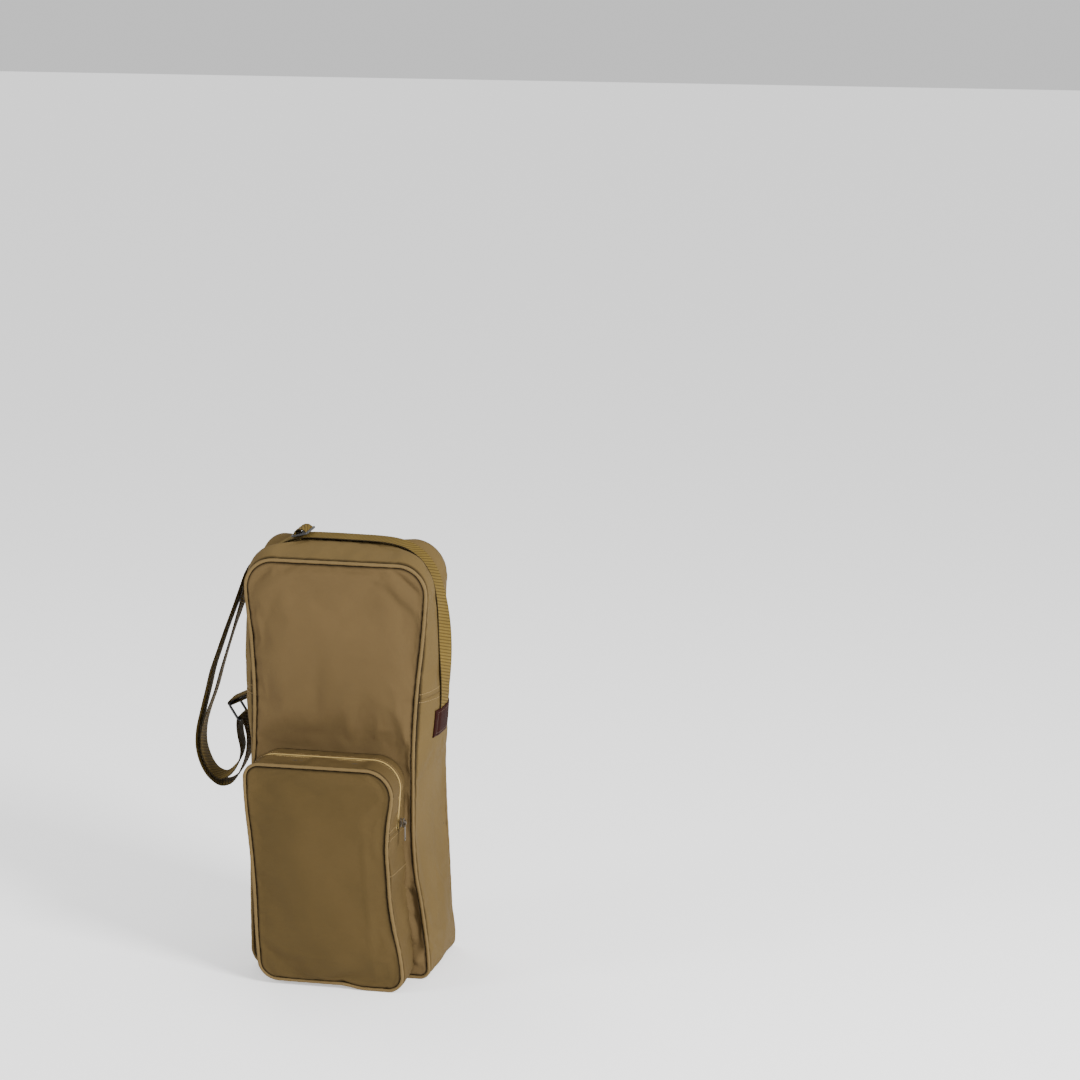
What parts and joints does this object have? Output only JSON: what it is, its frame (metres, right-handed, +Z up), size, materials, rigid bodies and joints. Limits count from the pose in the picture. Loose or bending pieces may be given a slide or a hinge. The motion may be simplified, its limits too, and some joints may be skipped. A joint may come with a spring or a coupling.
{
  "type": "portfolio_case",
  "caption": "Tall canvas carrying bag with piped edges, a zipped front pocket and a webbing shoulder strap, for a folded box easel and papers",
  "frame": {"origin": "middle of the underside of the main bag", "axes": "+Z up, -Y front (the pocket's side), +X right as seen from the front"},
  "size_m": [0.3975, 0.2249, 0.6713],
  "materials": {
    "bag_canvas": "coated canvas, fine plain weave",
    "pocket_canvas": "coated canvas, fine plain weave",
    "piping_cord": "cord covered with canvas",
    "strap_webbing": "ribbed webbing",
    "leather_patch": "smooth brown leather",
    "zip_tape": "herringbone zip tape",
    "zip_coil": "moulded coil",
    "slider_metal": "plated metal, worn",
    "black_buckle": "satin moulded",
    "seam_binding": "bound seam tape"
  },
  "bodies": {
    "root": {"back_panel": "bag_canvas", "front_panel_lower": "bag_canvas", "base_panel": "bag_canvas", "side_gusset_right": "bag_canvas", "side_gusset_left": "bag_canvas", "upper_gusset_rear_band": "bag_canvas", "piping_back": "piping_cord", "piping_front_lower": "piping_cord", "seam_binding_back": "seam_binding", "main_zip_tape_rear": "zip_tape", "main_zip_chain_rear": "zip_coil", "pocket_front_panel_lower": "pocket_canvas", "pocket_gusset_lower": "pocket_canvas", "pocket_gusset_rear_band": "pocket_canvas", "pocket_piping_lower": "piping_cord", "pocket_zip_tape_rear": "zip_tape", "pocket_zip_chain_rear": "zip_coil", "strap_patch_right": "leather_patch", "strap_patch_left": "leather_patch", "strap_sewn_end": "strap_webbing", "ring_tab": "strap_webbing", "strap_hanging_loop": "strap_webbing"},
    "front_flap": {"front_panel_upper": "bag_canvas", "upper_gusset_front_band": "bag_canvas", "piping_front_upper": "piping_cord", "main_zip_tape_front": "zip_tape", "main_zip_chain_front": "zip_coil"},
    "pocket_flap": {"pocket_front_panel_upper": "pocket_canvas", "pocket_gusset_front_band": "pocket_canvas", "pocket_piping_upper": "piping_cord", "pocket_zip_tape_front": "zip_tape", "pocket_zip_chain_front": "zip_coil"},
    "main_slider": {"main_zip_slider": "slider_metal"},
    "main_puller": {"main_zip_puller": "slider_metal"},
    "pocket_slider": {"pocket_zip_slider": "slider_metal"},
    "pocket_puller": {"pocket_zip_puller": "slider_metal"},
    "strap": {"shoulder_strap": "strap_webbing", "strap_return_strand": "strap_webbing"},
    "adjuster": {"strap_adjuster": "black_buckle", "strap_adjuster_wrap": "strap_webbing"},
    "ring": {"strap_ring": "black_buckle"}
  },
  "joints": [
    {"name": "front_flap_fold", "type": "hinge", "parent": "root", "child": "front_flap", "pos_m": [0, -0.075, 0.434], "axis": [1, 0, 0], "range_deg": [0, 110]},
    {"name": "pocket_flap_fold", "type": "hinge", "parent": "root", "child": "pocket_flap", "pos_m": [0, -0.14578, 0.243], "axis": [1, 0, 0], "range_deg": [0, 95]},
    {"name": "strap_swing", "type": "hinge", "parent": "root", "child": "strap", "pos_m": [0, 0, 0.413], "axis": [1, 0, 0], "range_deg": [-55, 0]},
    {"name": "strap_adjust", "type": "slide", "parent": "strap", "child": "adjuster", "axis": [0.9962, 0, 0.0872], "range_m": [-0.02, 0.02]},
    {"name": "main_zip_travel", "type": "slide", "parent": "root", "child": "main_slider", "axis": [0, 0, 1], "range_m": [0, 0.055]},
    {"name": "main_puller_lift", "type": "hinge", "parent": "main_slider", "child": "main_puller", "pos_m": [-0.14795, 0, 0.4512], "axis": [0, 1, 0], "range_deg": [0, 150]},
    {"name": "pocket_zip_travel", "type": "slide", "parent": "root", "child": "pocket_slider", "axis": [0, 0, 1], "range_m": [0, 0.035]},
    {"name": "pocket_puller_lift", "type": "hinge", "parent": "pocket_slider", "child": "pocket_puller", "pos_m": [0.10945, -0.103, 0.2562], "axis": [0, -1, 0], "range_deg": [0, 150]},
    {"name": "ring_turn", "type": "hinge", "parent": "root", "child": "ring", "pos_m": [-0.181, 0, 0.396], "axis": [0, 1, 0], "range_deg": [-2, 3]}
  ],
  "couplings": [
    {"joint": "strap_swing", "follows": "front_flap_fold", "ratio": -0.5}
  ]
}
